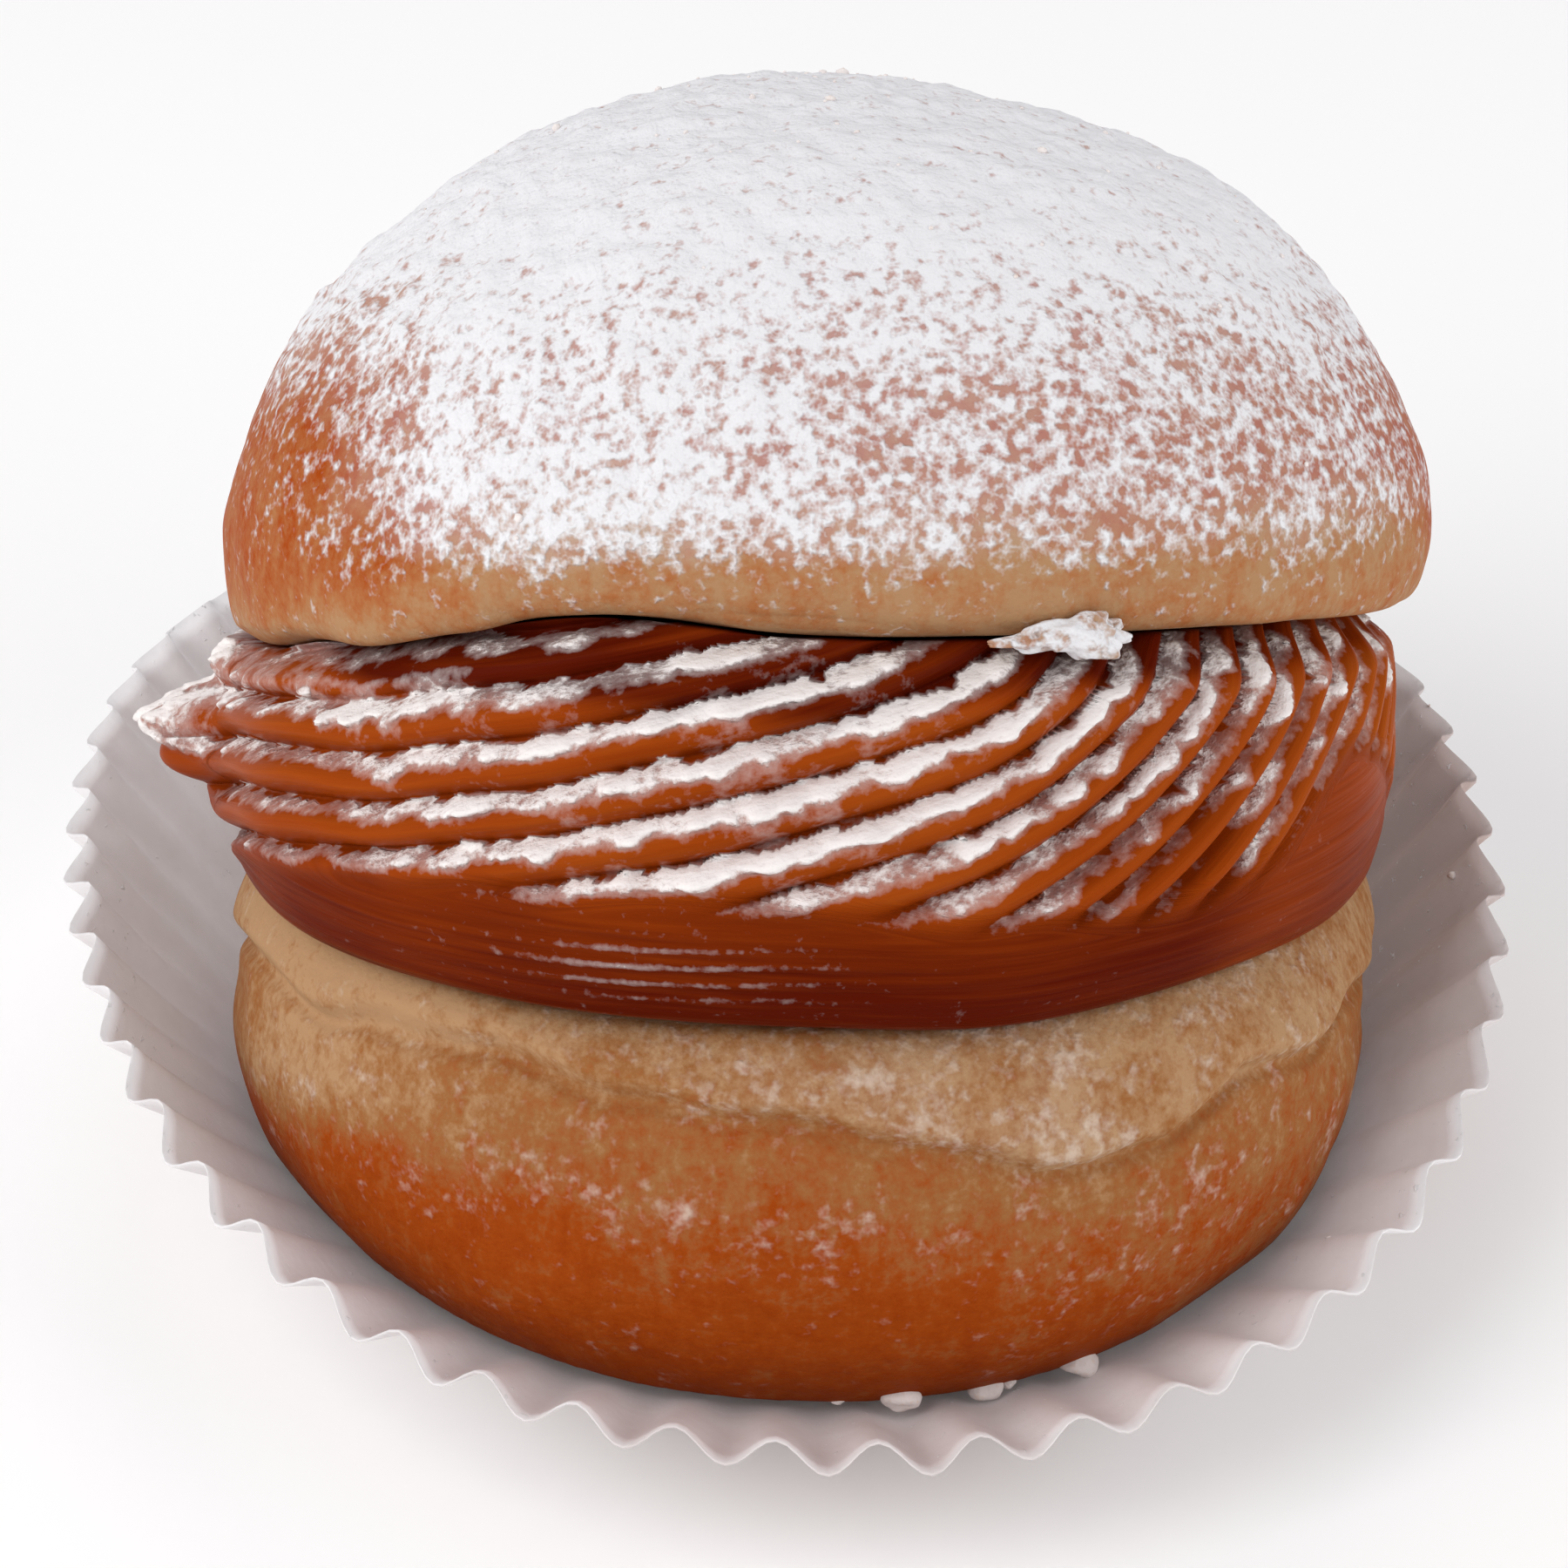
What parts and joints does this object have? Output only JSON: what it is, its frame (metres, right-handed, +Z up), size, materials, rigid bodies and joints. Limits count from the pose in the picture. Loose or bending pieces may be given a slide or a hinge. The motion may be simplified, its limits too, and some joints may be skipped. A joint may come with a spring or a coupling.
{
  "type": "filled doughnut",
  "caption": "Split fried doughnut with a thick ridged caramel filling between its halves, dusted with icing sugar and set in a fluted white paper case.",
  "frame": {"origin": "on the surface that the paper case stands on, under the middle of the whole part", "axes": "+Z up, -Y the front where the mouth of the doughnut shows its filling, +X to the right seen from the front"},
  "size_m": [0.1111, 0.1216, 0.0888],
  "materials": {
    "case_paper": "thin white greaseproof paper, pressed into flutes",
    "fried_crust": "fried yeast dough, brown below and pale at the cut",
    "caramel": "thick milk caramel, piped in ridges, glossy",
    "sugared_crust": "fried yeast dough under a heavy dusting of icing sugar"
  },
  "bodies": {
    "root": {"paper_case": "case_paper", "bun_bottom": "fried_crust", "filling": "caramel", "bun_top": "sugared_crust"}
  },
  "joints": []
}
